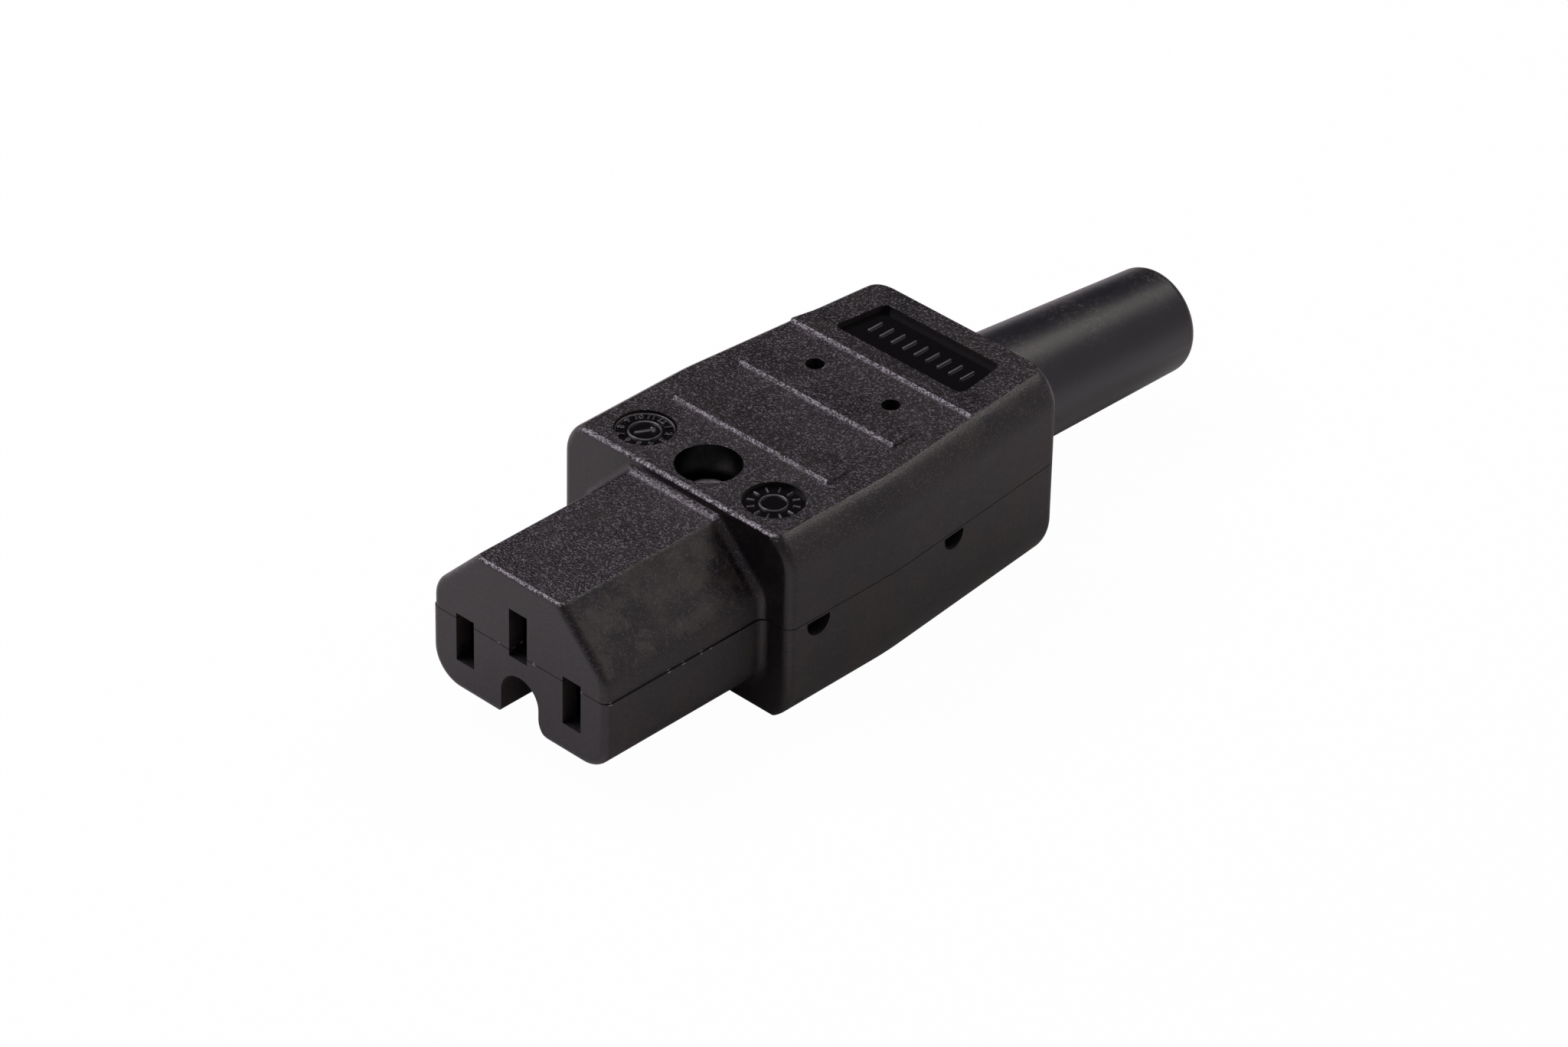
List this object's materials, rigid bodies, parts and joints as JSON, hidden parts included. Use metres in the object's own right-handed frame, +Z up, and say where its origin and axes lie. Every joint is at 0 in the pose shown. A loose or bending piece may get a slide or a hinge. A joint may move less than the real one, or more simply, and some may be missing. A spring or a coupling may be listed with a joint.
{
  "type": "rewireable iec connector",
  "caption": "Straight rewireable appliance connector for hot conditions, with a notched nose, screw terminals, a cord clamp and a rubber boot.",
  "frame": {"origin": "on the nose's front face, midway between the centres of the two power slots", "axes": "+Y from the nose towards the cord, +Z up through the earth slot, +X to the right seen from the nose"},
  "size_m": [0.0298, 0.0879, 0.0207],
  "materials": {
    "shell_plastic": "near-black moulding, spark-eroded grain on the flat tops, satin sides",
    "boot_rubber": "smooth satin black rubber",
    "dark_steel": "blackened steel screw",
    "zinc_steel": "zinc-plated steel",
    "spring_steel": "bright spring steel strip",
    "contact_brass": "stamped brass strip",
    "terminal_brass": "machined brass",
    "clamp_plastic": "moulded black plastic bar"
  },
  "bodies": {
    "root": {"upper_shell": "shell_plastic", "lower_shell": "shell_plastic", "boot": "boot_rubber", "assembly_screw": "dark_steel", "assembly_nut": "zinc_steel", "cord_clamp": "clamp_plastic", "cord_clamp_screw_left": "zinc_steel", "cord_clamp_screw_right": "zinc_steel", "contact_live": "contact_brass", "contact_spring_live": "spring_steel", "terminal_block_live": "terminal_brass", "terminal_screw_live": "zinc_steel", "contact_neutral": "contact_brass", "contact_spring_neutral": "spring_steel", "terminal_block_neutral": "terminal_brass", "terminal_screw_neutral": "zinc_steel", "contact_earth": "contact_brass", "contact_spring_earth": "spring_steel", "terminal_block_earth": "terminal_brass", "terminal_screw_earth": "zinc_steel"}
  },
  "joints": []
}
